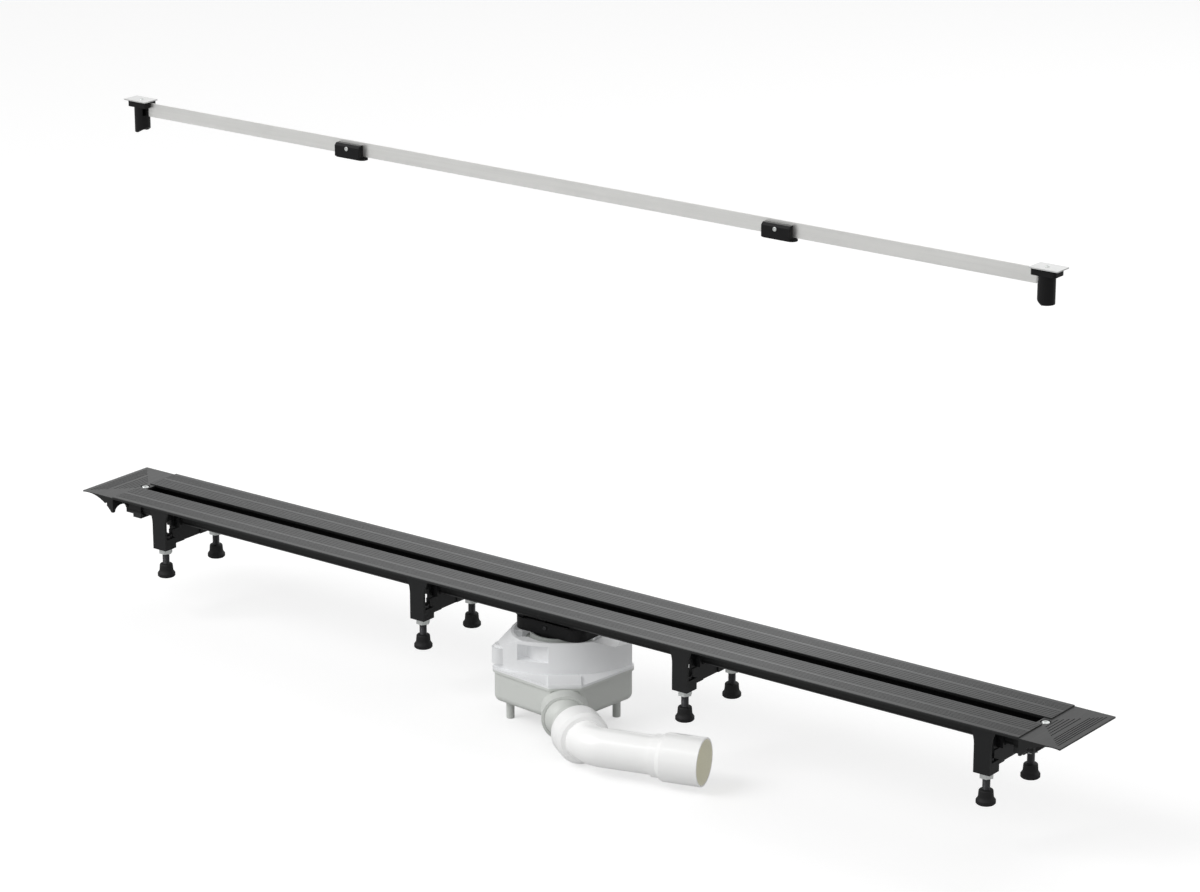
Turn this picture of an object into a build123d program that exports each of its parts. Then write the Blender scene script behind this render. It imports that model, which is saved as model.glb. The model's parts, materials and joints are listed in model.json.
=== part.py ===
from build123d import *
from math import cos, radians, sin, sqrt
import os

os.makedirs("parts", exist_ok=True)

# Linear shower drain. X runs along the channel, -Y is the side the outlet leaves on, +Z is up.
# The origin is under the middle of the channel, on the plane that the trap's pegs stand on.

# Channel profile
channel_length = 1170.0
flange_width = 103.0
flange_thickness = 3.0
channel_depth = 24.0
trough_width = 50.0
trough_wall = 2.0
trough_corner = 4.0
slot_width = 18.0

# Grooves in the flange, as distances in from its outer edge
outer_band_start = 6.0
outer_band_pitch = 2.9
inner_band_start = 24.2
inner_band_pitch = 3.85
grooves_in_band = 5
groove_width = 0.9
groove_depth = 0.6
profile_groove_depth = 0.3

# End pieces
end_length = 45.0
end_step = 1.2
end_edge = 1.6
wing_drop = 17.5
arch_margin = 1.0
wing_wall = 2.4
end_wall = 2.6
cuff_length = 19.3
cuff_setback = 7.6
cuff_wall = 2.4
cuff_drop = 4.0
tongue_length = 8.0
tongue_gap = 0.2
screw_recess_radius = 5.4
screw_recess = 1.6
wing_hole_radius = 1.6

# Small screws
end_screw_head = 8.0
end_screw_shank = 4.0
end_screw_length = 12.0
small_screw_head = 4.4
small_screw_shank = 2.4
small_screw_length = 5.0
small_head_height = 0.88

# Levelling feet: the outer pairs are set back from the profile's ends, the inner ones stand beside the spigot
left_foot_setback = 68.0
right_foot_setback = 40.0
left_inner_foot = 149.0
right_inner_foot = 191.0
foot_inset = 9.8
foot_drop = 81.0
rod_diameter = 8.0
rod_length = 44.0
thread_clearance = 0.05
nut_across_flats = 13.0
nut_height = 6.0
pad_diameter = 19.5
pad_boss_diameter = 14.5
pad_height = 15.0
pad_disc_height = 5.0
pad_socket_depth = 9.0

# Foot brackets
tower_width = 18.5
tower_flare = 27.0
tower_flare_height = 17.0
tower_plate = 3.0
tower_inset = 1.0
tower_rise = 18.0
nut_block_height = 12.0
nut_block_depth = 17.0
nut_pocket_depth = 3.0
nut_pocket_gap = 0.15
web_thickness = 3.0
web_rise = 2.0
window_width = 15.5
panel_thickness = 5.4
panel_height = 17.0
panel_inner = 13.0
saddle_wall = 2.5
saddle_gap = 0.2
cheek_height = 12.0
arm_height = 15.0

# Outlet spigot under the trough: an oval box with a round collar below it
spigot_length = 88.0
spigot_width = 47.0
spigot_wall = 2.5
spigot_plate = 2.5
spigot_plate_length = 104.0
spigot_corner = 14.0
spigot_clearance = 0.5
collar_radius = 24.0
collar_length = 9.0

# Trap, from the ground up
trap_x = 11.0
trap_y = -6.8
trap_turn = -6.0
peg_length = 19.0
peg_diameter = 8.5
peg_inset = 14.0
tub_size = 106.0
tub_depth = 36.0
tub_wall = 2.5
tub_corner = 9.0
tub_front_cut = 22.0
tub_floor_round = 8.0
rim_overhang = 2.0
rim_thickness = 2.5

# Trap lid
hood_rise = 27.0
hood_wall = 2.5
bow_radius = 104.0
inlet_radius = 50.0
inlet_wall = 3.0
inlet_rise = 37.0
inlet_base = 7.0
shoulder_slope = 0.75
ledge_drop = 10.5
ledge_thickness = 2.0
ledge_bore = 29.0
inlet_ribs = 12
rib_width = 2.0
rib_depth = 8.0
rib_height = 7.0
recess_start = 16.0
recess_end = 48.0
recess_height = 18.0
recess_base = 15.0
recess_back = 6.0
recess_radius = 38.0
recess_round = 1.5
clip_width = 34.0
clip_start = 34.0
clip_thickness = 2.5
clip_gap = 0.3
lug_radius = 8.5
lug_inset = 9.4533
ring_gap = 16.0

# Lift-out odour trap cup and the seal on its flange
cup_radius = 27.0
cup_wall = 2.0
cup_flange_radius = 35.0
cup_flange_thickness = 1.5
cup_depth = 52.0
cup_collar_radius = 30.0
cup_collar_gap = 0.3
seal_height = 3.0
seal_clearance = 0.05

# Outlet: ball joint, union nut, elbow and adapter. Lengths run along the nozzle from the ball's centre.
outlet_z = 30.0
outlet_turn = 16.0
ball_offset = 16.60303
ball_radius = 21.8
ball_clearance = 0.3
ball_bore = 15.0
socket_wall = 2.4
socket_mouth = 5.0
waist_radius = 17.5
waist_start = 13.0
waist_end = 18.0
neck_radius = 25.0
neck_start = 32.0
neck_step = 38.0
thread_radius = 23.4
neck_end = 58.0
pipe_stop = 45.0
pipe_radius = 20.0
pipe_wall = 2.0
pipe_clearance = 0.1
outlet_seal_length = 3.0
nut_radius = 27.5
nut_lip = 3.0
nut_clearance = 0.1
elbow_angle = 51.0
elbow_radius = 34.0
elbow_lead = 0.5
elbow_run = 70.0
adapter_radius = 25.0
adapter_length = 52.0
adapter_wall = 2.0
adapter_socket = 16.0
adapter_shoulder = 3.0
adapter_entry = 7.0
adapter_entry_wall = 1.9

# Slot insert: strip, end plates, clips and retainers
insert_lift = 430.0
strip_height = 15.0
strip_thickness = 2.0
strip_drop = 1.3
plate_length = 31.0
plate_width = 21.0
plate_thickness = 1.2
leg_height = 34.0
leg_setback = 17.3
leg_radius = 8.5
leg_bore = 6.3
leg_slant = 5.0
notch_width = 4.0
notch_height = 9.0
head_height = 6.5
head_length = 27.0
head_width = 17.4
strip_leg_gap = 1.8
strip_slot_gap = 0.1
retainer_station = 270.0
retainer_length = 32.0
retainer_width = 17.0
retainer_height = 14.0
retainer_floor = 2.0
retainer_slope = 2.5
foot_plate_length = 40.0
foot_plate_width = 12.0
foot_plate_thickness = 1.6

# Levels and places that follow from the sizes above
rim_z = peg_length + tub_depth
inlet_z = rim_z + inlet_rise
trough_z = inlet_z + ring_gap
flange_z = trough_z + channel_depth
flange_under_z = flange_z - flange_thickness
end_top_z = flange_z - end_step
foot_z = flange_z - foot_drop
half_length = channel_length / 2
half_flange = flange_width / 2
half_trough = trough_width / 2
trough_inner_round = trough_corner - trough_wall
end_x = half_length + end_length
groove_insets = [outer_band_start + i * outer_band_pitch for i in range(grooves_in_band)]
groove_insets += [inner_band_start + i * inner_band_pitch for i in range(grooves_in_band)]
trap_plane = Plane(
    origin=(trap_x, trap_y, 0),
    x_dir=(cos(radians(trap_turn)), sin(radians(trap_turn)), 0),
    z_dir=(0, 0, 1),
)


def save(part, name):
    part.label = name
    export_step(part, f"parts/{name}.step")


def across(x):
    """YZ plane at x, with its own X along world Y, facing +X."""
    return Plane(origin=(x, 0, 0), x_dir=(0, 1, 0), z_dir=(1, 0, 0))


def trough_outline(width, height, corner):
    """Section of the trough or of its inside: open corners above, rounded ones below."""
    with BuildSketch() as outline:
        Rectangle(width, height)
        fillet(outline.vertices().group_by(Axis.Y)[0], corner)
    return outline.sketch


# Channel profile: one extrusion, flange, trough and grooves in one section
with BuildPart() as channel_profile:
    with BuildSketch(across(-half_length)):
        with Locations((0, flange_z - flange_thickness / 2)):
            Rectangle(flange_width, flange_thickness)
        with Locations((0, trough_z + channel_depth / 2)):
            add(trough_outline(trough_width, channel_depth, trough_corner))
        inside_height = channel_depth - trough_wall - flange_thickness
        inside_width = trough_width - 2 * trough_wall
        with Locations((0, flange_under_z - inside_height / 2)):
            add(trough_outline(inside_width, inside_height, trough_inner_round), mode=Mode.SUBTRACT)
        with Locations((0, flange_z - flange_thickness / 2)):
            Rectangle(slot_width, 2 * flange_thickness, mode=Mode.SUBTRACT)
        for inset in groove_insets:
            with Locations((half_flange - inset, flange_z), (inset - half_flange, flange_z)):
                Rectangle(groove_width, 2 * profile_groove_depth, mode=Mode.SUBTRACT)
    extrude(amount=channel_length)
    # drain hole in the trough's floor, over the spigot
    with BuildSketch(Plane.XY.offset(trough_z)):
        SlotOverall(spigot_length - 2 * spigot_wall, spigot_width - 2 * spigot_wall)
    extrude(amount=trough_wall, mode=Mode.SUBTRACT)
save(channel_profile.part, "channel_profile")


def end_piece(side):
    """End piece on the +X (side 1) or -X (side -1) end: mitred ribs, wings and a cuff on the trough."""
    with BuildPart() as piece:
        # top plate, wedge-shaped towards its tip, with the wings' cove below it
        cove_start = (side * (half_length + end_wall), end_top_z - wing_drop)
        cove_middle = (side * (half_length + 0.42 * end_length), end_top_z - 0.27 * wing_drop)
        cove_end = (side * end_x, end_top_z - end_edge)
        with BuildSketch(Plane.XZ.offset(-half_flange)):
            with BuildLine():
                Polyline(
                    cove_end,
                    (side * end_x, end_top_z),
                    (side * half_length, end_top_z),
                    (side * half_length, end_top_z - wing_drop),
                    cove_start,
                )
                ThreePointArc(cove_start, cove_middle, cove_end)
            make_face()
        extrude(amount=flange_width)
        # hollow between the two wings, under a plate of even thickness
        hollow_length = end_length - end_wall
        with BuildSketch(Plane.XY.offset(end_top_z - flange_thickness)):
            with Locations((side * (half_length + end_wall + hollow_length / 2), 0)):
                Rectangle(hollow_length, flange_width - 2 * wing_wall)
        extrude(amount=-wing_drop, mode=Mode.SUBTRACT)
        # arches in the end wall's lower edge, between the wings and the trough
        arch_height = 0.38 * wing_drop
        arch_reach = half_flange - half_trough - wing_wall - cuff_wall
        for flank in (-1, 1):
            arch_y = flank * (half_flange - wing_wall - arch_reach / 2)
            with BuildSketch(across(side * half_length)):
                with Locations((arch_y, end_top_z - wing_drop)):
                    Ellipse(arch_reach / 2 - arch_margin, arch_height)
            extrude(amount=side * end_wall, mode=Mode.SUBTRACT)
        # wall that closes the trough, and the cuff that the trough's end sits in
        cuff_width = trough_width + 2 * (cuff_wall + saddle_gap)
        cuff_bottom = trough_z - cuff_drop
        wall_height = end_top_z - end_step - cuff_bottom
        with BuildSketch(across(side * half_length)):
            with Locations((0, cuff_bottom + wall_height / 2)):
                Rectangle(cuff_width, wall_height)
        extrude(amount=side * end_wall)
        cuff_height = flange_under_z - cuff_bottom
        with BuildSketch(across(side * half_length)):
            with Locations((0, cuff_bottom + cuff_height / 2)):
                Rectangle(cuff_width, cuff_height)
            with Locations((0, trough_z - saddle_gap + channel_depth / 2)):
                Rectangle(trough_width + 2 * saddle_gap, channel_depth, mode=Mode.SUBTRACT)
        extrude(amount=-side * cuff_length)
        # below the trough the cuff starts further in
        notch_end = side * (half_length + 2 * end_wall)
        notch_start = side * (half_length - cuff_setback)
        notch_z = trough_z - saddle_gap
        with BuildSketch(Plane.XZ.offset(-half_trough - 2 * cuff_wall)):
            with BuildLine():
                Polyline(
                    (notch_end, cuff_bottom - cuff_wall),
                    (notch_end, notch_z),
                    (notch_start, notch_z),
                    (notch_start, cuff_bottom - cuff_wall),
                    close=True,
                )
            make_face()
        extrude(amount=trough_width + 4 * cuff_wall, mode=Mode.SUBTRACT)
        # tongue that fills the slot's end, with a round recess for the screw
        tongue_x = side * (half_length - tongue_length / 2)
        with BuildSketch(Plane.XY.offset(end_top_z)):
            with Locations((tongue_x, 0)):
                Rectangle(tongue_length, slot_width - 2 * tongue_gap)
        extrude(amount=-flange_thickness)
        # the screw goes down through a boss under the plate
        screw_x = side * (half_length - end_step)
        boss_depth = flange_thickness + end_screw_length
        with BuildSketch(Plane.XY.offset(end_top_z)):
            with Locations((screw_x, 0)):
                Circle(screw_recess_radius + end_step)
        extrude(amount=-boss_depth)
        with BuildSketch(Plane.XY.offset(end_top_z)):
            with Locations((screw_x, 0)):
                Circle(screw_recess_radius)
        extrude(amount=-screw_recess, mode=Mode.SUBTRACT)
        with BuildSketch(Plane.XY.offset(end_top_z)):
            with Locations((screw_x, 0)):
                Circle(end_screw_shank / 2)
        extrude(amount=-end_screw_length, mode=Mode.SUBTRACT)
        # mitred grooves: each runs across the end and stops on the 45 degree mitre lines
        for inset in groove_insets:
            groove_x = side * (end_x - inset)
            with BuildSketch(Plane.XY.offset(end_top_z)):
                with Locations((groove_x, 0)):
                    SlotOverall(flange_width - 2 * inset, groove_width, rotation=90)
            extrude(amount=-groove_depth, mode=Mode.SUBTRACT)
        # small round hole in each wing
        wing_hole = (side * (half_length + 4 * end_wall), end_top_z - wing_drop / 2)
        with BuildSketch(Plane.XZ.offset(-half_flange)):
            with Locations(wing_hole):
                Circle(wing_hole_radius)
        extrude(amount=flange_width, mode=Mode.SUBTRACT)
    return piece.part


save(end_piece(1), "end_piece_right")
save(end_piece(-1), "end_piece_left")


def screw(plane, head, shank, length, head_height):
    """Pan-head screw: the plane is under its head and faces out of it."""
    with BuildPart() as body:
        with BuildSketch(plane):
            Circle(head / 2)
        extrude(amount=head_height)
        axis = Axis(plane.origin, plane.z_dir)
        fillet(body.edges().filter_by(GeomType.CIRCLE).sort_by(axis)[-1], head_height / 2)
        with BuildSketch(plane.offset(head_height)):
            RegularPolygon(head / 5, 6)
        extrude(amount=-head_height / 2, mode=Mode.SUBTRACT)
        with BuildSketch(plane):
            Circle(shank / 2)
        extrude(amount=-length)
    return body.part


def group(parts):
    """Several separate solids as one compound."""
    return Compound(children=parts)


end_screws = []
for side in (-1, 1):
    seat = Plane.XY.offset(end_top_z - screw_recess).move(Location((side * (half_length - end_step), 0, 0)))
    shank_length = end_screw_length - screw_recess
    end_screws.append(screw(seat, end_screw_head, end_screw_shank, shank_length, screw_recess))
save(group(end_screws), "end_screws")


# Levels of the foot brackets, measured from the flange and the feet
tower_z = foot_z + pad_height + tower_rise
block_top_z = tower_z + nut_block_height
tower_y = half_flange - tower_inset
foot_y = tower_y - foot_inset
web_start = tower_y - tower_plate - window_width
foot_stations = (
    left_foot_setback - half_length,
    -left_inner_foot,
    right_inner_foot,
    half_length - right_foot_setback,
)
captive_z = block_top_z - nut_pocket_depth
pocket_flats = nut_across_flats + 2 * nut_pocket_gap


def hexagon(across_flats):
    """Corner radius of a hexagon of that width across its flats."""
    return across_flats / sqrt(3)


def foot_bracket(station):
    """Bracket across the channel: saddle on the trough, web, and a flared tower at each end."""
    with BuildPart() as bracket:
        # front plate of the tower, straight below and flaring up to the flange
        flare_z = flange_under_z - tower_flare_height
        with BuildSketch(Plane.XZ.offset(tower_y - tower_plate).move(Location((station, 0, 0)))):
            with BuildLine():
                flare = Spline(
                    (tower_width / 2, flare_z),
                    (tower_flare / 2, flange_under_z),
                    tangents=[(0, 1), (1, 2.2)],
                )
                Line((tower_width / 2, tower_z), flare @ 0)
                Line(flare @ 1, (0, flange_under_z))
                Line((0, tower_z), (tower_width / 2, tower_z))
                mirror(about=Plane.YZ)
            make_face()
        extrude(amount=tower_plate)
        # block that holds the captive nut
        with BuildSketch(Plane.XY.offset(tower_z).move(Location((station, 0, 0)))):
            with Locations((0, -(tower_y - nut_block_depth / 2))):
                Rectangle(tower_width, nut_block_depth)
        extrude(amount=nut_block_height)
        # web in the YZ plane: straight bottom edge, gap behind the tower, arm up to the flange
        half_saddle = half_trough + saddle_gap + saddle_wall
        with BuildSketch(across(station - web_thickness / 2)):
            with BuildLine():
                Polyline(
                    (0, tower_z + web_rise),
                    (-tower_y, tower_z + web_rise),
                    (-tower_y, flange_under_z),
                    (-half_trough - saddle_gap, flange_under_z),
                    (-half_trough - saddle_gap, trough_z - saddle_gap),
                    (0, trough_z - saddle_gap),
                    close=True,
                )
            make_face()
            window_outer = tower_y - tower_plate
            window_top = flange_under_z - arm_height
            with Locations(((-window_outer - web_start) / 2, (block_top_z + window_top) / 2)):
                window_height = window_top - block_top_z
                Rectangle(window_outer - web_start, window_height, mode=Mode.SUBTRACT)
        extrude(amount=web_thickness)
        # thicker panel low on the web, on both faces
        with BuildSketch(across(station - panel_thickness / 2)):
            with Locations((-(web_start + panel_inner) / 2, tower_z + web_rise + panel_height / 2)):
                Rectangle(web_start - panel_inner, panel_height)
        extrude(amount=panel_thickness)
        # saddle plate under the trough and the cheek beside it
        with BuildSketch(across(station - tower_width / 2)):
            with Locations((-half_saddle / 2, trough_z - saddle_gap - saddle_wall / 2)):
                Rectangle(half_saddle, saddle_wall)
            cheek_y = -(half_trough + saddle_gap + saddle_wall / 2)
            with Locations((cheek_y, trough_z - saddle_gap + cheek_height / 2)):
                Rectangle(saddle_wall, cheek_height)
        extrude(amount=tower_width)
        mirror(about=Plane.XZ)
        # pocket for the nut and bore for the rod, in both blocks
        for flank in (-1, 1):
            with BuildSketch(Plane.XY.offset(block_top_z)):
                with Locations((station, flank * foot_y)):
                    RegularPolygon(hexagon(pocket_flats), 6)
            extrude(amount=-nut_pocket_depth, mode=Mode.SUBTRACT)
            with BuildSketch(Plane.XY.offset(tower_z)):
                with Locations((station, flank * foot_y)):
                    Circle(rod_diameter / 2 + saddle_gap)
            extrude(amount=nut_block_height, mode=Mode.SUBTRACT)
    return bracket.part


def nut(x, y, z):
    """Hexagon nut with chamfered corners, standing on z."""
    with BuildPart() as body:
        with BuildSketch(Plane.XY.offset(z)):
            with Locations((x, y)):
                RegularPolygon(hexagon(nut_across_flats), 6)
                Circle(rod_diameter / 2 + thread_clearance, mode=Mode.SUBTRACT)
        extrude(amount=nut_height)
    return body.part


def foot_rod(x, y):
    """Plain core of the threaded rod."""
    with BuildPart() as body:
        with BuildSketch(Plane.XY.offset(foot_z + pad_height - pad_socket_depth)):
            with Locations((x, y)):
                Circle(rod_diameter / 2)
        extrude(amount=rod_length)
        chamfer(body.edges().group_by(Axis.Z)[-1], rod_diameter / 10)
    return body.part


def foot_pad(x, y):
    """Rubber pad: flared disc, waist and round-shouldered boss with a socket for the rod."""
    disc_edge = 1.0
    brim_z = pad_disc_height + 0.4
    waist_z = pad_disc_height + 1.4
    centre = Plane(origin=(x, y, foot_z), x_dir=(1, 0, 0), z_dir=(0, -1, 0))
    with BuildPart() as body:
        with BuildSketch(centre):
            with BuildLine():
                Polyline(
                    (0, 0),
                    (pad_diameter / 2 - disc_edge, 0),
                    (pad_diameter / 2, disc_edge),
                    (pad_diameter / 2, pad_disc_height - disc_edge),
                    (pad_diameter / 2 - disc_edge, brim_z),
                    (pad_boss_diameter / 2 + 0.8, waist_z),
                    (pad_boss_diameter / 2 + 0.4, waist_z + 1.2),
                    (pad_boss_diameter / 2, pad_height - 2),
                )
                ThreePointArc(
                    (pad_boss_diameter / 2, pad_height - 2),
                    (pad_boss_diameter / 2 - 0.6, pad_height - 0.6),
                    (pad_boss_diameter / 2 - 2, pad_height),
                )
                Polyline(
                    (pad_boss_diameter / 2 - 2, pad_height),
                    (rod_diameter / 2 + thread_clearance, pad_height),
                    (rod_diameter / 2 + thread_clearance, pad_height - pad_socket_depth),
                    (0, pad_height - pad_socket_depth),
                    (0, 0),
                )
            make_face()
        revolve(axis=Axis((x, y, 0), (0, 0, 1)))
    return body.part


captive_nuts = []
lock_nuts = []
for number, station in enumerate(foot_stations, start=1):
    save(foot_bracket(station), f"foot_bracket_{number}")
    for flank, flank_name in ((-1, "front"), (1, "back")):
        y = flank * foot_y
        captive_nuts.append(nut(station, y, captive_z))
        lock_nuts.append(nut(station, y, tower_z - nut_height))
        save(foot_rod(station, y), f"foot_rod_{number}_{flank_name}")
        save(foot_pad(station, y), f"foot_pad_{number}_{flank_name}")
save(group(captive_nuts), "captive_nuts")
save(group(lock_nuts), "lock_nuts")


# Outlet spigot: plate under the trough, oval box, and the round collar inside the trap's inlet
spigot_z = inlet_z + spigot_clearance
collar_z = spigot_z - collar_length
inner_length = spigot_length - 2 * spigot_wall
inner_width = spigot_width - 2 * spigot_wall
with BuildPart() as outlet_spigot:
    with BuildSketch(Plane.XY.offset(trough_z)):
        SlotOverall(spigot_plate_length, trough_width - 2 * trough_corner)
    extrude(amount=-spigot_plate)
    with BuildSketch(Plane.XY.offset(spigot_z)):
        RectangleRounded(spigot_length, spigot_width, spigot_corner)
    extrude(amount=trough_z - spigot_plate - spigot_z)
    with BuildSketch(Plane.XY.offset(spigot_z + spigot_wall)):
        RectangleRounded(inner_length, inner_width, spigot_corner - spigot_wall)
    extrude(amount=trough_z - spigot_z - spigot_wall, mode=Mode.SUBTRACT)
    with BuildSketch(Plane.XY.offset(collar_z)):
        Circle(collar_radius)
    extrude(amount=collar_length)
    with BuildSketch(Plane.XY.offset(collar_z)):
        Circle(collar_radius - spigot_wall)
        RectangleRounded(inner_length, inner_width, spigot_corner - spigot_wall, mode=Mode.INTERSECT)
    extrude(amount=collar_length + spigot_wall, mode=Mode.SUBTRACT)
    # holes for the two small screws
    screw_z = (trough_z + spigot_z) / 2
    with BuildSketch(Plane.XZ.offset(-spigot_width)):
        with Locations((0, screw_z)):
            Circle(small_screw_shank / 2)
    extrude(amount=2 * spigot_width, mode=Mode.SUBTRACT)
save(outlet_spigot.part, "outlet_spigot")

spigot_screws = []
for flank in (-1, 1):
    seat = Plane(origin=(0, flank * spigot_width / 2, screw_z), x_dir=(1, 0, 0), z_dir=(0, flank, 0))
    spigot_screws.append(screw(seat, small_screw_head, small_screw_shank, spigot_wall, small_screw_head / 4))
save(group(spigot_screws), "spigot_screws")


# Trap tub: filleted box with a rim, four pegs to stand on and a socket for the outlet ball
def trap_outline(grow):
    """Square trap outline in the trap's own frame, with the outlet corner cut off."""
    with BuildSketch() as outline:
        Rectangle(tub_size + 2 * grow, tub_size + 2 * grow)
        corners = outline.vertices().sort_by(Axis((0, 0, 0), (1, -1, 0)))
        chamfer(corners[-1], tub_front_cut + 0.6 * grow)
        corners = outline.vertices().sort_by(Axis((0, 0, 0), (1, -1, 0)))
        fillet(corners[:3], tub_corner + grow)
    return outline.sketch


ball_reach = (tub_size - tub_front_cut) / sqrt(2) + ball_offset
peg_offset = tub_size / 2 - peg_inset
diagonal = radians(trap_turn - 45)
forward = Vector(cos(diagonal), sin(diagonal), 0)
ball_centre = Vector(trap_x, trap_y, outlet_z) + forward * ball_reach
socket_plane = Plane(origin=ball_centre, x_dir=(0, 0, 1), z_dir=forward)
socket_radius = ball_radius + ball_clearance
throat_length = ball_reach - tub_size / sqrt(2) + tub_front_cut
with BuildPart() as trap_body:
    with BuildSketch(trap_plane.offset(peg_length)):
        add(trap_outline(0))
    extrude(amount=tub_depth)
    fillet(trap_body.faces().sort_by(Axis.Z)[0].edges(), tub_floor_round)
    with BuildSketch(trap_plane.offset(rim_z)):
        add(trap_outline(rim_overhang))
    extrude(amount=-rim_thickness)
    with BuildSketch(socket_plane.offset(-throat_length)):
        Circle(socket_radius + socket_wall)
    extrude(amount=throat_length + socket_mouth)
    # water space
    with BuildSketch(trap_plane.offset(peg_length + tub_wall)):
        add(trap_outline(-tub_wall))
    extrude(amount=tub_depth, mode=Mode.SUBTRACT)
    # ball seat, and the way from the water space to it
    seat_plane = Plane(origin=ball_centre, x_dir=forward, z_dir=(0, 0, 1))
    with BuildSketch(seat_plane):
        Circle(socket_radius)
        with Locations((0, -socket_radius)):
            Rectangle(4 * socket_radius, 2 * socket_radius, mode=Mode.SUBTRACT)
    revolve(axis=Axis(ball_centre, forward), mode=Mode.SUBTRACT)
    with BuildSketch(socket_plane.offset(-2 * throat_length)):
        Circle(ball_bore)
    extrude(amount=2 * throat_length, mode=Mode.SUBTRACT)
    with BuildSketch(trap_plane):
        with GridLocations(2 * peg_offset, 2 * peg_offset, 2, 2):
            Circle(peg_diameter / 2)
    extrude(amount=peg_length + tub_wall)
save(trap_body.part, "trap_body")


# Trap lid. Its hood follows the tub's sides and bows out between them towards the outlet.
inlet_centre = trap_plane.to_local_coords(Vector(0, 0, 0))
bow_centre = (-tub_size / 2, tub_size / 2)
forward_plane = Plane(origin=(trap_x, trap_y, rim_z), x_dir=(0, 0, 1), z_dir=forward)


def hood_outline(inset):
    """Plan of the hood in the trap's frame: the square, cut by the bow on the outlet side."""
    with BuildSketch() as outline:
        Rectangle(tub_size - 2 * inset, tub_size - 2 * inset)
        fillet(outline.vertices(), tub_corner - inset)
        with Locations(bow_centre):
            Circle(bow_radius - inset, mode=Mode.INTERSECT)
    return outline.sketch


def inlet_outline(radius, inset):
    """Plan of the inlet in the trap's frame: a circle, cut by the same bow."""
    with BuildSketch() as outline:
        with Locations((inlet_centre.X, inlet_centre.Y)):
            Circle(radius)
        with Locations(bow_centre):
            Circle(bow_radius - inset, mode=Mode.INTERSECT)
    return outline.sketch


def front_recess(grow):
    """Scoop in the bowed front wall round the inlet, larger by the given amount on every side."""
    half_across = (recess_end - recess_start) / 2
    half_along = bow_radius / 4
    with BuildPart() as scoop:
        with BuildSketch(trap_plane.offset(rim_z + recess_base - grow)):
            across_at = -(recess_start + recess_end) / 2
            along_at = recess_back + half_along
            centre = ((across_at + along_at) / sqrt(2), (across_at - along_at) / sqrt(2))
            with Locations(centre):
                Rectangle(2 * (half_across + grow), 2 * (half_along + grow), rotation=45)
            with Locations((inlet_centre.X, inlet_centre.Y)):
                Circle(recess_radius - grow, mode=Mode.SUBTRACT)
        extrude(amount=recess_height + 2 * grow)
        fillet(scoop.edges().filter_by(Axis.Z), recess_round)
    return scoop.part


def lid_form(inset, inlet_cut):
    """Form of the hood and the inlet: as seen from outside, or the hollow inside it with an inset."""
    shoulder_top = inlet_z - sqrt(1 + shoulder_slope**2) * inset
    shoulder_drop = inlet_rise - hood_rise
    with BuildPart() as shoulder:
        with BuildSketch(trap_plane.offset(rim_z)):
            add(hood_outline(inset))
        extrude(amount=inlet_rise)
        with BuildSketch(Plane.XZ):
            with BuildLine():
                Polyline(
                    (0, rim_z),
                    (inlet_radius + shoulder_drop / shoulder_slope, rim_z),
                    (inlet_radius + shoulder_drop / shoulder_slope, shoulder_top - shoulder_drop),
                    (inlet_radius, shoulder_top),
                    (0, shoulder_top),
                    close=True,
                )
            make_face()
        revolve(axis=Axis.Z, mode=Mode.INTERSECT)
    with BuildPart() as form:
        with BuildSketch(trap_plane.offset(rim_z)):
            add(hood_outline(inset))
        extrude(amount=hood_rise - inset)
        add(shoulder.part)
        with BuildSketch(trap_plane.offset(rim_z + inlet_base + inset)):
            add(inlet_outline(inlet_radius - inlet_cut, inset))
        extrude(amount=inlet_rise - inlet_base)
        add(front_recess(inset), mode=Mode.SUBTRACT)
    return form.part


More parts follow.
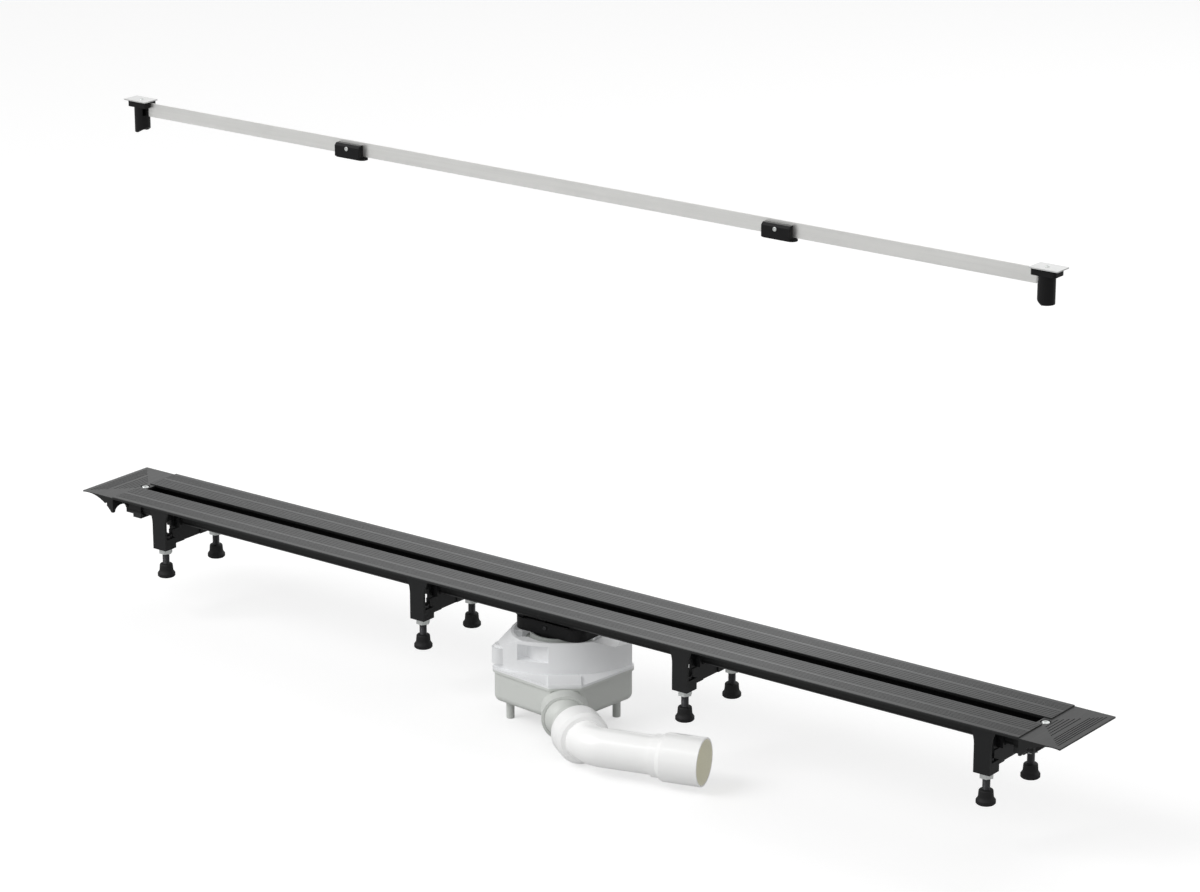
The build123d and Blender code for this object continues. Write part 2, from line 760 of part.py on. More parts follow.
ledge_z = inlet_z - ledge_drop
lug_reach = tub_size / sqrt(2) - lug_inset
corner_reach = (tub_size + 2 * rim_overhang - tub_front_cut - 0.6 * rim_overhang) / sqrt(2)
with BuildPart() as trap_lid:
    with BuildSketch(trap_plane.offset(rim_z)):
        add(trap_outline(rim_overhang))
    extrude(amount=rim_thickness)
    add(lid_form(0, 0))
    with BuildSketch(trap_plane.offset(inlet_z - inlet_base)):
        add(inlet_outline(inlet_radius, 0))
    extrude(amount=inlet_base)
    add(lid_form(hood_wall, inlet_wall), mode=Mode.SUBTRACT)
    # inlet's wall inside the hood, and the ledge with the cup's seat
    with BuildSketch(trap_plane.offset(ledge_z - ledge_thickness)):
        add(inlet_outline(inlet_radius, 0))
        add(inlet_outline(inlet_radius - inlet_wall, hood_wall), mode=Mode.SUBTRACT)
    extrude(amount=inlet_z - ledge_z + ledge_thickness)
    with BuildSketch(trap_plane.offset(ledge_z - ledge_thickness)):
        add(inlet_outline(inlet_radius - inlet_wall / 2, hood_wall / 2))
        with Locations((inlet_centre.X, inlet_centre.Y)):
            Circle(ledge_bore, mode=Mode.SUBTRACT)
    extrude(amount=ledge_thickness)
    # ribs that stiffen the inlet's wall above the ledge
    rib_outer = inlet_radius - inlet_wall / 2
    rib_inner = inlet_radius - inlet_wall - rib_depth
    with BuildSketch(Plane.XY.offset(ledge_z)):
        rib_turn = trap_turn - 45 + 180 / inlet_ribs
        with PolarLocations((rib_outer + rib_inner) / 2, inlet_ribs, start_angle=rib_turn):
            Rectangle(rib_outer - rib_inner, rib_width)
        add(inlet_outline(inlet_radius, hood_wall / 2).moved(trap_plane.location), mode=Mode.INTERSECT)
    extrude(amount=rib_height)
    add(front_recess(0), mode=Mode.SUBTRACT)
    # clip over the outlet corner, and the lug on the corner to its left
    with BuildSketch(forward_plane.offset(clip_start)):
        with Locations((rim_thickness + clip_thickness / 2, 0)):
            Rectangle(clip_thickness, clip_width)
    extrude(amount=corner_reach + clip_gap + clip_thickness - clip_start)
    with BuildSketch(trap_plane.offset(rim_z + inlet_base)):
        with Locations((-lug_reach / sqrt(2), -lug_reach / sqrt(2))):
            Circle(lug_radius)
        add(hood_outline(hood_wall), mode=Mode.SUBTRACT)
    extrude(amount=hood_rise - inlet_base - hood_wall)
save(trap_lid.part, "trap_lid")

# Odour trap cup, hung on the ledge by its flange
with BuildPart() as trap_insert:
    with BuildSketch(Plane.XY.offset(ledge_z)):
        Circle(cup_flange_radius)
    extrude(amount=cup_flange_thickness)
    with BuildSketch(Plane.XY.offset(ledge_z)):
        Circle(cup_radius)
    extrude(amount=-cup_depth)
    with BuildSketch(Plane.XY.offset(ledge_z + cup_flange_thickness)):
        Circle(cup_radius - cup_wall)
    extrude(amount=-cup_flange_thickness - cup_depth, mode=Mode.SUBTRACT)
    # collar that stands up round the spigot's own
    with BuildSketch(Plane.XY.offset(ledge_z + cup_flange_thickness)):
        Circle(cup_collar_radius)
        Circle(cup_collar_radius - cup_wall, mode=Mode.SUBTRACT)
    extrude(amount=spigot_z - cup_collar_gap - ledge_z - cup_flange_thickness)
save(trap_insert.part, "trap_insert")

# Ring seal between the spigot's collar and the cup's, lying on the cup's flange
with BuildPart() as inlet_seal:
    with BuildSketch(Plane.XY.offset(ledge_z + cup_flange_thickness)):
        Circle(cup_collar_radius - cup_wall - seal_clearance)
        Circle(collar_radius + seal_clearance, mode=Mode.SUBTRACT)
    extrude(amount=seal_height)
save(inlet_seal.part, "inlet_seal")


# Outlet. Nozzle profiles are drawn in a plane whose own X runs along the nozzle from the ball's centre.
nozzle_angle = diagonal + radians(outlet_turn)
nozzle = Vector(cos(nozzle_angle), sin(nozzle_angle), 0)
nozzle_plane = Plane(origin=ball_centre, x_dir=nozzle, z_dir=nozzle.cross(Vector(0, 0, 1)))
nozzle_axis = Axis(ball_centre, nozzle)
seal_start = neck_end
lip_start = neck_end + outlet_seal_length
nut_end = lip_start + nut_lip


def height_on_ball(along):
    """Radius of the ball's section at a distance from its centre."""
    return sqrt(ball_radius**2 - along**2)


ball_back = -sqrt(ball_radius**2 - (ball_bore + pipe_wall) ** 2)
ball_front = waist_start
with BuildPart() as outlet_ball:
    with BuildSketch(nozzle_plane):
        with BuildLine():
            Line((ball_back, ball_bore), (ball_back, ball_bore + pipe_wall))
            ThreePointArc(
                (ball_back, ball_bore + pipe_wall),
                (0, ball_radius),
                (ball_front, height_on_ball(ball_front)),
            )
            Polyline(
                (ball_front, height_on_ball(ball_front)),
                (waist_end, waist_radius),
                (neck_start, neck_radius),
                (neck_step, neck_radius),
                (neck_step, thread_radius),
                (neck_end, thread_radius),
                (neck_end, pipe_radius + pipe_clearance),
                (pipe_stop, pipe_radius + pipe_clearance),
                (pipe_stop, pipe_radius - pipe_wall),
                (neck_start, pipe_radius - pipe_wall),
                (waist_end, ball_bore),
                (ball_back, ball_bore),
            )
        make_face()
    revolve(axis=nozzle_axis)
save(outlet_ball.part, "outlet_ball")

with BuildPart() as outlet_seal:
    with BuildSketch(nozzle_plane):
        with BuildLine():
            Polyline(
                (seal_start, pipe_radius + seal_clearance),
                (seal_start, thread_radius),
                (lip_start, thread_radius),
                (lip_start, pipe_radius + seal_clearance),
                close=True,
            )
        make_face()
    revolve(axis=nozzle_axis)
save(outlet_seal.part, "outlet_seal")

# Union nut: plain collar outside, with the thread's core bore and a lip that holds the seal
with BuildPart() as union_nut:
    nut_edge = 1.5
    with BuildSketch(nozzle_plane):
        with BuildLine():
            Polyline(
                (neck_step + nut_clearance, thread_radius + nut_clearance),
                (neck_step + nut_clearance, nut_radius - nut_edge),
                (neck_step + nut_clearance + nut_edge, nut_radius),
                (nut_end - 2 * nut_edge, nut_radius),
                (nut_end, nut_radius - 2 * nut_edge),
                (nut_end, pipe_radius + pipe_clearance),
                (lip_start, pipe_radius + pipe_clearance),
                (lip_start, thread_radius + nut_clearance),
                close=True,
            )
        make_face()
    revolve(axis=nozzle_axis)
save(union_nut.part, "union_nut")

# Elbow: a tube from the neck's stop, round the bend and into the adapter
bend_start = nut_end + elbow_lead
outflow_angle = nozzle_angle + radians(elbow_angle)
outflow = Vector(cos(outflow_angle), sin(outflow_angle), 0)
left_of_nozzle = Vector(-sin(nozzle_angle), cos(nozzle_angle), 0)
bend_centre = ball_centre + nozzle * bend_start + left_of_nozzle * elbow_radius
bend_out = Vector(sin(outflow_angle), -cos(outflow_angle), 0)
bend_end = bend_centre + bend_out * elbow_radius
elbow_tip = bend_end + outflow * elbow_run
elbow_start = ball_centre + nozzle * pipe_stop
with BuildPart() as outlet_elbow:
    with BuildSketch(Plane(origin=elbow_start, x_dir=(0, 0, 1), z_dir=nozzle)):
        Circle(pipe_radius)
        Circle(pipe_radius - pipe_wall, mode=Mode.SUBTRACT)
    extrude(amount=bend_start - pipe_stop)
    with BuildSketch(Plane(origin=bend_end, x_dir=(0, 0, 1), z_dir=outflow)):
        Circle(pipe_radius)
        Circle(pipe_radius - pipe_wall, mode=Mode.SUBTRACT)
    extrude(amount=elbow_run)
    with BuildSketch(Plane(origin=bend_end, x_dir=(0, 0, 1), z_dir=outflow)):
        Circle(pipe_radius)
        Circle(pipe_radius - pipe_wall, mode=Mode.SUBTRACT)
    revolve(axis=Axis(bend_centre, (0, 0, 1)), revolution_arc=-elbow_angle)
save(outlet_elbow.part, "outlet_elbow")

# Adapter: socket on the elbow's end, stepping up to the wide outlet sleeve
adapter_start = elbow_tip - outflow * adapter_socket
adapter_plane = Plane(origin=adapter_start, x_dir=outflow, z_dir=outflow.cross(Vector(0, 0, 1)))
socket_bore = pipe_radius + seal_clearance
step_start = adapter_entry
step_end = adapter_entry + adapter_radius - pipe_radius
with BuildPart() as outlet_adapter:
    with BuildSketch(adapter_plane):
        with BuildLine():
            Polyline(
                (0, socket_bore),
                (0, socket_bore + adapter_entry_wall),
                (step_start, socket_bore + adapter_entry_wall),
                (step_end, adapter_radius),
                (adapter_length, adapter_radius),
                (adapter_length, adapter_radius - adapter_wall),
                (adapter_socket + adapter_shoulder, adapter_radius - adapter_wall),
                (adapter_socket + adapter_shoulder, pipe_radius - pipe_wall),
                (adapter_socket, pipe_radius - pipe_wall),
                (adapter_socket, socket_bore),
                close=True,
            )
        make_face()
    revolve(axis=Axis(adapter_start, outflow))
save(outlet_adapter.part, "outlet_adapter")


# Slot insert, lifted straight up from its seat, where the clips' legs stand on the trough's floor
foot_end_z = trough_z + trough_wall + insert_lift
plate_z = foot_end_z + leg_height
strip_top_z = plate_z - strip_drop
strip_z = strip_top_z - strip_height
leg_x = half_length - leg_setback
strip_half = leg_x - leg_radius - strip_leg_gap
retainer_screw_z = strip_z - retainer_floor + retainer_height - retainer_slope - small_screw_head / 2
with BuildPart() as insert_strip:
    with BuildSketch(across(-strip_half)):
        with Locations((0, strip_z + strip_height / 2)):
            Rectangle(strip_thickness, strip_height)
    extrude(amount=2 * strip_half)
save(insert_strip.part, "insert_strip")


def insert_clip(side):
    """Clip at one end: head that holds the strip, round hollow leg, notch and spring tongue."""
    with BuildPart() as clip:
        with BuildSketch(Plane.XY.offset(plate_z)):
            with Locations((side * leg_x, 0)):
                RectangleRounded(head_length, head_width, 3)
        extrude(amount=-head_height)
        with BuildSketch(Plane.XY.offset(foot_end_z)):
            with Locations((side * leg_x, 0)):
                Circle(leg_radius)
        extrude(amount=leg_height)
        # the foot is cut to a slant below, and hollow up to the head
        with BuildSketch(Plane.XY.offset(foot_end_z)):
            with Locations((side * leg_x, 0)):
                Circle(leg_bore)
        extrude(amount=leg_height - head_height, mode=Mode.SUBTRACT)
        with BuildSketch(Plane.XZ.offset(-leg_radius)):
            with BuildLine():
                Polyline(
                    (side * (leg_x - leg_radius), foot_end_z),
                    (side * (leg_x - leg_radius), foot_end_z + leg_slant),
                    (side * leg_x, foot_end_z),
                    close=True,
                )
            make_face()
        extrude(amount=2 * leg_radius, mode=Mode.SUBTRACT)
        # side notch with the tongue left standing in it
        notch_z = plate_z - head_height - notch_height
        for flank in (-1, 1):
            with BuildSketch(across(side * (leg_x - leg_radius))):
                with Locations((flank * notch_width, notch_z + notch_height / 2)):
                    Rectangle(notch_width, notch_height)
            extrude(amount=side * leg_radius, mode=Mode.SUBTRACT)
        # slot for the strip's end
        strip_slot = strip_thickness + 2 * strip_slot_gap
        slot_start = leg_x - head_length / 2
        with BuildSketch(Plane.XY.offset(strip_top_z)):
            with Locations((side * (slot_start + strip_half) / 2, 0)):
                Rectangle(strip_half - slot_start, strip_slot)
        extrude(amount=-strip_height, mode=Mode.SUBTRACT)
    return clip.part


def insert_plate(side):
    """Bright cover plate on a clip, with a hole for its screw."""
    with BuildPart() as plate:
        with BuildSketch(Plane.XY.offset(plate_z)):
            with Locations((side * (half_length - plate_length / 2), 0)):
                RectangleRounded(plate_length, plate_width, 1)
            with Locations((side * leg_x, 0)):
                Circle(small_screw_shank / 2, mode=Mode.SUBTRACT)
        extrude(amount=plate_thickness)
    return plate.part


def retainer(x):
    """Block clipped on the strip from below, with a sloped shoulder and a wider foot."""
    with BuildPart() as block:
        base_z = strip_z - retainer_floor
        with BuildSketch(across(x - retainer_length / 2)):
            with BuildLine():
                Polyline(
                    (-retainer_width / 2, base_z),
                    (-retainer_width / 2, base_z + retainer_height - retainer_slope),
                    (-retainer_width / 2 + retainer_slope, base_z + retainer_height),
                    (retainer_width / 2, base_z + retainer_height),
                    (retainer_width / 2, base_z),
                    close=True,
                )
            make_face()
            with Locations((0, strip_z + retainer_height)):
                Rectangle(strip_thickness + 2 * strip_slot_gap, 2 * retainer_height, mode=Mode.SUBTRACT)
        extrude(amount=retainer_length)
        with BuildSketch(Plane.XY.offset(base_z)):
            with Locations((x, 0)):
                SlotOverall(foot_plate_length, foot_plate_width)
        extrude(amount=-foot_plate_thickness)
        with BuildSketch(Plane.XZ.offset(retainer_width / 2)):
            with Locations((x, retainer_screw_z)):
                Circle(small_screw_shank / 2)
        extrude(amount=-small_screw_length, mode=Mode.SUBTRACT)
    return block.part


plate_screws = []
retainer_screws = []
for side, side_name in ((-1, "left"), (1, "right")):
    save(insert_clip(side), f"insert_clip_{side_name}")
    save(insert_plate(side), f"insert_plate_{side_name}")
    save(retainer(side * retainer_station), f"retainer_{side_name}")
    seat = Plane(origin=(side * leg_x, 0, plate_z + plate_thickness))
    plate_screws.append(screw(seat, small_screw_head, small_screw_shank, plate_thickness, small_head_height))
    seat = Plane(
        origin=(side * retainer_station, -retainer_width / 2, retainer_screw_z),
        x_dir=(1, 0, 0),
        z_dir=(0, -1, 0),
    )
    screw_sizes = (small_screw_head, small_screw_shank, small_screw_length, small_head_height)
    retainer_screws.append(screw(seat, *screw_sizes))
save(group(plate_screws), "plate_screws")
save(group(retainer_screws), "retainer_screws")
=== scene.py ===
import bpy
import json
import numpy as np
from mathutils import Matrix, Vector


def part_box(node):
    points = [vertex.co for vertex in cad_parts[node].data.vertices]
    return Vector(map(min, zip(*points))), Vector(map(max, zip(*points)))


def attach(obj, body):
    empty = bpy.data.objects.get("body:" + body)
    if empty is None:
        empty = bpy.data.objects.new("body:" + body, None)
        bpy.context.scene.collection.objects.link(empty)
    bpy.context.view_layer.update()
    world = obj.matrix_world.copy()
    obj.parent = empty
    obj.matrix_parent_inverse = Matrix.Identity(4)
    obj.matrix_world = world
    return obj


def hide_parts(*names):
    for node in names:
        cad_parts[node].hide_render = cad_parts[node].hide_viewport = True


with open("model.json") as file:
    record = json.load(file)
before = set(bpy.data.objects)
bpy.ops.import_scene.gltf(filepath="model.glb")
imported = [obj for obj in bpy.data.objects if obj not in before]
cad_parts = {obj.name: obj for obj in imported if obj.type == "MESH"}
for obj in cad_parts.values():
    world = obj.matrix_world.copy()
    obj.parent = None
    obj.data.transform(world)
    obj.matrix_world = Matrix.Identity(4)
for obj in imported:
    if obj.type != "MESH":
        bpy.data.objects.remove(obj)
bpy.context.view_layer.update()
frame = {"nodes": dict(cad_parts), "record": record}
nodes = frame["nodes"]
print("frame loaded:", len(nodes), "nodes")


# camera and stage

# the photo's own camera: a long lens, 37 degrees round and 18 degrees down
cameraSettings = {
    "place": (2.36407, -3.04983, 1.53584),
    "aim": (0.0534, 0.0, 0.3023),
    "lens": 119.2,
    "sensor": 36.0,
    "farthest": 100,
}


def aimAt(thing, place, aim):
    # stands a camera or lamp at a place and turns its -Z axis along (aim - place), with Y up
    thing.location = place
    thing.rotation_euler = (Vector(aim) - thing.location).to_track_quat("-Z", "Y").to_euler()


camera = bpy.data.cameras.new("camera")
camera.lens = cameraSettings["lens"]
camera.sensor_width = cameraSettings["sensor"]
camera.sensor_fit = "HORIZONTAL"
camera.clip_end = cameraSettings["farthest"]
cameraObject = bpy.data.objects.new("camera", camera)
bpy.context.collection.objects.link(cameraObject)
aimAt(cameraObject, cameraSettings["place"], cameraSettings["aim"])
bpy.context.scene.camera = cameraObject
bpy.context.scene.view_settings.view_transform = "Standard"
print("camera set")


# shader maths written as expressions

class Sock:
    # wraps one output socket, so that sums and products of sockets add Math nodes
    def __init__(self, tree, link):
        self.tree = tree
        self.link = link

    def join(self, operation, first, second=None, third=None):
        # one Math node: the operation on up to three sockets or numbers
        node = self.tree.nodes.new("ShaderNodeMath")
        node.operation = operation
        for slot, value in zip(node.inputs, (first, second, third)):
            if isinstance(value, Sock):
                self.tree.links.new(value.link, slot)
            elif value is not None:
                slot.default_value = value
        return Sock(self.tree, node.outputs[0])

    def __add__(self, other):
        return self.join("ADD", self, other)

    def __radd__(self, other):
        return self.join("ADD", other, self)

    def __sub__(self, other):
        return self.join("SUBTRACT", self, other)

    def __rsub__(self, other):
        return self.join("SUBTRACT", other, self)

    def __mul__(self, other):
        return self.join("MULTIPLY", self, other)

    def __truediv__(self, other):
        return self.join("DIVIDE", self, other)

    def __abs__(self):
        return self.join("ABSOLUTE", self)

    def above(self, limit):
        # 1 over the limit, else 0
        return self.join("GREATER_THAN", self, limit)

    def below(self, limit):
        # 1 under the limit, else 0
        return self.join("LESS_THAN", self, limit)

    def clamped(self, low, high):
        # the lesser of high and (the greater of low and this)
        return self.join("MINIMUM", self.join("MAXIMUM", self, low), high)

    def near(self, centre, width):
        # 1 - |this - centre| / width, never under 0: 1 at the centre, 0 from width away
        return (1 - abs(self - centre) / width).clamped(0.0, 1.0)


class Finish:
    # one material with its Principled shader, and the one method that adds any other node
    def __init__(self, name, **fixed):
        self.material = bpy.data.materials.new(name)
        self.material.use_nodes = True
        self.tree = self.material.node_tree
        self.shader = self.tree.nodes["Principled BSDF"]
        for key, value in fixed.items():
            socket = self.shader.inputs[key.replace("_", " ")]
            socket.default_value = (*value, 1) if isinstance(value, tuple) else value

    def add(self, kind, settings=None, **values):
        # a node of any kind: settings are its properties, values its sockets by name
        node = self.tree.nodes.new(kind)
        for key, value in (settings or {}).items():
            setattr(node, key, value)
        for key, value in values.items():
            socket = node.inputs[key.replace("_", " ")]
            if isinstance(value, Sock):
                self.tree.links.new(value.link, socket)
            else:
                socket.default_value = value
        return node

    def out(self, node, name=0):
        return Sock(self.tree, node.outputs[name])

    def place(self, scale):
        # object coordinates times the scale, axis by axis
        coordinates = self.out(self.add("ShaderNodeTexCoord"), "Object")
        return self.out(self.add("ShaderNodeMapping", Vector=coordinates, Scale=scale))

    def axes(self):
        # x, y and z of the object coordinates
        coordinates = self.out(self.add("ShaderNodeTexCoord"), "Object")
        split = self.add("ShaderNodeSeparateXYZ", Vector=coordinates)
        return self.out(split, 0), self.out(split, 1), self.out(split, 2)

    def noise(self, scale, detail, rough, stretch=(1, 1, 1)):
        # fractal noise of the stretched coordinates, 0 to 1 around noiseMean
        where = self.place(stretch)
        values = {"Vector": where, "Scale": scale, "Detail": detail, "Roughness": rough}
        return self.out(self.add("ShaderNodeTexNoise", **values))

    def mix(self, factor, first, second):
        # first * (1 - factor) + second * factor
        node = self.add("ShaderNodeMix", {"data_type": "RGBA"})
        for slot, value in zip((0, 6, 7), (factor, first, second)):
            if isinstance(value, Sock):
                self.tree.links.new(value.link, node.inputs[slot])
            else:
                node.inputs[slot].default_value = (*value, 1) if isinstance(value, tuple) else value
        return Sock(self.tree, node.outputs[2])

    def feed(self, name, value):
        self.tree.links.new(value.link, self.shader.inputs[name])

    def fed(self, name):
        # what feeds one socket of the shader now
        return Sock(self.tree, self.shader.inputs[name].links[0].from_socket)

    def bump(self, height, distance, strength):
        # tilts the normal by the slope of (height * distance), times strength
        node = self.add("ShaderNodeBump", Height=height, Distance=distance, Strength=strength)
        self.feed("Normal", self.out(node))


noiseMean = 0.5


def shade(colour, factor):
    # colour * factor, channel by channel
    return tuple(channel * factor for channel in colour)


plasticGrain = {"refraction": 1.5, "slowDetail": 2.0, "slowRough": 0.5, "grainDetail": 4.0,
                "grainRough": 0.65, "bump": 0.5, "specular": 0.5}


def plastic(name, look, grained):
    # moulded plastic: colour * (1 - drift .. 1 + drift) by slow noise, calmed by the grain;
    # roughness = rough + (grain - mean) * roughSpread; height = grain * grainDepth
    finish = Finish(name, IOR=grained["refraction"])
    slow = finish.noise(look["driftScale"], grained["slowDetail"], grained["slowRough"])
    grain = finish.noise(look["grainScale"], grained["grainDetail"], grained["grainRough"])
    colour, drift = look["colour"], look["drift"]
    deep = finish.mix(slow, shade(colour, 1 - drift), shade(colour, 1 + drift))
    finish.feed("Base Color", finish.mix(grain, shade(colour, 1 - drift / 2), deep))
    finish.feed("Roughness", look["rough"] + (grain - noiseMean) * look["roughSpread"])
    finish.bump(grain, look["grainDepth"], grained["bump"])
    fixed = {"Specular IOR Level": look.get("specular", grained["specular"])}
    if "paintedGlow" in look:
        # painted light: an emission in the part's own colour that brightens the whole part, its
        # shaded sides too
        fixed["Emission Color"] = (*colour, 1)
        fixed["Emission Strength"] = look["paintedGlow"]
    if "coat" in look:
        fixed["Coat Weight"] = look["coat"]
        fixed["Coat Roughness"] = look["coatRough"]
    for socketName, value in fixed.items():
        finish.shader.inputs[socketName].default_value = value
    return finish


brushedGrain = {"streakDetail": 5.0, "streakRough": 0.7, "cloudDetail": 2.0, "cloudRough": 0.5,
                "streakShare": 0.6, "cloudShare": 0.4, "dark": 0.86, "light": 1.1,
                "roughSpread": 0.2, "bump": 0.6}


def brushed(name, look, grained):
    # brushed metal, streaked along one axis: tone = streaks * streakShare + cloud * cloudShare;
    # colour * (dark .. light) by tone; roughness = rough + (streaks - mean) * roughSpread
    finish = Finish(name, Metallic=look["metal"])
    streaks = finish.noise(look["streakScale"], grained["streakDetail"], grained["streakRough"],
                           look["stretch"])
    cloud = finish.noise(look["cloudScale"], grained["cloudDetail"], grained["cloudRough"])
    tone = streaks * grained["streakShare"] + cloud * grained["cloudShare"]
    dark, light = shade(look["colour"], grained["dark"]), shade(look["colour"], grained["light"])
    finish.feed("Base Color", finish.mix(tone, dark, light))
    finish.feed("Roughness", look["rough"] + (streaks - noiseMean) * grained["roughSpread"])
    finish.bump(streaks, look["depth"], grained["bump"])
    return finish


looks = {
    "bracket": {"colour": (0.0095, 0.01, 0.0105), "drift": 0.2, "driftScale": 30,
                "grainScale": 900, "grainDepth": 0.00006, "rough": 0.46, "roughSpread": 0.16,
                "specular": 0.26},
    "black": {"colour": (0.0065, 0.0065, 0.007), "drift": 0.2, "driftScale": 30,
              "grainScale": 1100, "grainDepth": 0.00005, "rough": 0.42, "roughSpread": 0.14,
              "specular": 0.18},
    "tub": {"colour": (0.71, 0.73, 0.7), "drift": 0.03, "driftScale": 14,
            "grainScale": 1300, "grainDepth": 0.00004, "rough": 0.42, "roughSpread": 0.12},
    "cup": {"colour": (0.45, 0.47, 0.45), "drift": 0.04, "driftScale": 20,
            "grainScale": 1200, "grainDepth": 0.00004, "rough": 0.5, "roughSpread": 0.12},
    "lid": {"colour": (0.775, 0.782, 0.79), "paintedGlow": 0.12, "drift": 0.025, "driftScale": 16,
            "grainScale": 1300, "grainDepth": 0.00004, "rough": 0.38, "roughSpread": 0.12},
    "pipe": {"colour": (0.95, 0.952, 0.945), "paintedGlow": 0.12, "drift": 0.012, "driftScale": 12,
             "grainScale": 1500, "grainDepth": 0.00002, "rough": 0.28, "roughSpread": 0.08,
             "coat": 0.25, "coatRough": 0.12},
    "rubber": {"colour": (0.0055, 0.0055, 0.006), "drift": 0.25, "driftScale": 60,
               "grainScale": 1600, "grainDepth": 0.00008, "rough": 0.66, "roughSpread": 0.2,
               "specular": 0.32},
    "strip": {"colour": (0.86, 0.86, 0.84), "metal": 0.85, "rough": 0.34, "streakScale": 320,
              "stretch": (0.02, 1, 1), "cloudScale": 14, "depth": 0.00004},
    "plate": {"colour": (0.74, 0.745, 0.74), "metal": 0.92, "rough": 0.3, "streakScale": 420,
              "stretch": (0.03, 1, 1), "cloudScale": 22, "depth": 0.00003},
    "zinc": {"colour": (0.66, 0.68, 0.67), "metal": 0.9, "rough": 0.36, "streakScale": 700,
             "stretch": (1, 1, 0.15), "cloudScale": 90, "depth": 0.00003},
    "rod": {"colour": (0.05, 0.05, 0.053), "metal": 0.7, "rough": 0.42, "streakScale": 800,
            "stretch": (1, 1, 0.2), "cloudScale": 80, "depth": 0.00003},
}

# the ribbed flange: a grey satin top whose lighter grey is painted sheen on the same near-black
# plastic as the sides, painted shade in the hollow, one thin painted highlight line on each smooth
# land, and a dark band of painted shade low on the trough's side with a lighter edge below it
flangeLook = {
    "sheenTopColour": (0.128, 0.13, 0.13),
    "topShades": (0.84, 1.16),
    "sideColour": (0.017, 0.0175, 0.0175),
    "sideShades": (0.75, 1.3),
    "paintedShadeColour": (0.003, 0.003, 0.003),
    "hollowHalf": 0.0236,
    "highlightColour": (0.5, 0.505, 0.505),
    "lineAt": 0.0322,
    "lineWidth": 0.0005,
    "lineBase": 0.35,
    "lineStreaks": 0.8,
    "refraction": 1.5,
    "rough": 0.4,
    "roughStreaks": 0.24,
    "roughGrain": 0.1,
    "roughHollow": 0.3,
    "specular": 0.22,
    "leftDark": -1.1,
    "leftReach": 1.3,
    "rightDark": 0.625,
    "rightReach": 0.35,
    "endTone": 0.25,
    "bandAt": 0.1117,
    "bandWidth": 0.0013,
    "edgeHeight": 0.1096,
    "edgeColour": (0.04, 0.041, 0.041),
    "streaks": (300, 5.0, 0.6),
    "cloud": (7, 3.0, 0.55),
    "grain": (1500, 3.0, 0.6),
    "toneShares": (0.5, 0.3, 0.2),
    "bumpShares": (0.5, 0.5),
    "depth": 0.00006,
    "bump": 0.6,
}
# the profile's streaks follow x and it has the painted highlight lines; the end pieces' streaks
# follow y
profileRun = {"stretch": (0.012, 1, 1), "topHeight": 0.1312, "lines": True}
# painted shade: the end pieces' groove floors lie under this topHeight and take the near-black side
# colour
endRun = {"stretch": (1, 0.03, 1), "topHeight": 0.1304, "lines": False}


def ribbed(name, look, run):
    # above topHeight the pale top, a painted sheen: tone endTone at leftDark and rightDark, rising
    # in a line to 1 over leftReach and rightReach, so the painted sheen fades towards both ends;
    # painted shade in the hollow where |y| < hollowHalf under it; else the side.
    # roughness = rough + streaks, grain and hollow by their shares
    finish = Finish(name, IOR=look["refraction"], Specular_IOR_Level=look["specular"])
    x, y, z = finish.axes()
    streaks = finish.noise(*look["streaks"], run["stretch"])
    cloud = finish.noise(*look["cloud"])
    grain = finish.noise(*look["grain"])
    top = z.above(run["topHeight"])
    hollow = abs(y).below(look["hollowHalf"]) * z.below(run["topHeight"])
    streakShare, cloudShare, grainShare = look["toneShares"]
    tone = (streaks * streakShare + cloud * cloudShare + grain * grainShare).clamped(0.0, 1.0)
    side = finish.mix(tone, *(shade(look["sideColour"], factor) for factor in look["sideShades"]))
    sheenCrest = finish.mix(tone, *(shade(look["sheenTopColour"], factor) for factor in look["topShades"]))
    # painted shade: the top's sheen falls to endTone towards both ends
    fromLeft = (x - look["leftDark"]) / look["leftReach"]
    fromRight = (look["rightDark"] - x) / look["rightReach"]
    middle = fromLeft.join("MINIMUM", fromLeft, fromRight).clamped(0.0, 1.0)
    fadedSheen = finish.mix(look["endTone"], (0.0, 0.0, 0.0), sheenCrest)
    sheenCrest = finish.mix(middle, fadedSheen, sheenCrest)
    # painted shade: a near-black band in the undercut low on the trough's side
    band = z.near(look["bandAt"], look["bandWidth"])
    side = finish.mix(band, side, look["paintedShadeColour"])
    side = finish.mix(z.below(look["edgeHeight"]), side, look["edgeColour"])
    colour = finish.mix(top, side, sheenCrest)
    # painted shade: near black in the hollow under the slot
    colour = finish.mix(hollow, colour, look["paintedShadeColour"])
    # painted highlight: a thin light line along each smooth land, fading towards the ends with the
    # sheen
    if run["lines"]:
        line = abs(y).near(look["lineAt"], look["lineWidth"]) * top
        share = line * (look["lineBase"] + streaks * look["lineStreaks"]) * middle
        colour = finish.mix(share, colour, look["highlightColour"])
    finish.feed("Base Color", colour)
    worn = (streaks - noiseMean) * look["roughStreaks"] + (grain - noiseMean) * look["roughGrain"]
    finish.feed("Roughness", look["rough"] + worn + hollow * look["roughHollow"])
    streakShare, grainShare = look["bumpShares"]
    finish.bump(streaks * streakShare + grain * grainShare, look["depth"], look["bump"])
    return finish


# the outlet's mouth, and a darker, warmer colour inside the sleeve behind it: partly painted shade
# of the bore, partly the sleeve inside's warmer tone
mouthShade = {
    "centre": (0.24243, -0.07847, 0.03),
    "turn": 16.0,
    "innerRadius": 0.0234,
    "depth": 0.0335,
    "colour": (0.64, 0.62, 0.47),
}


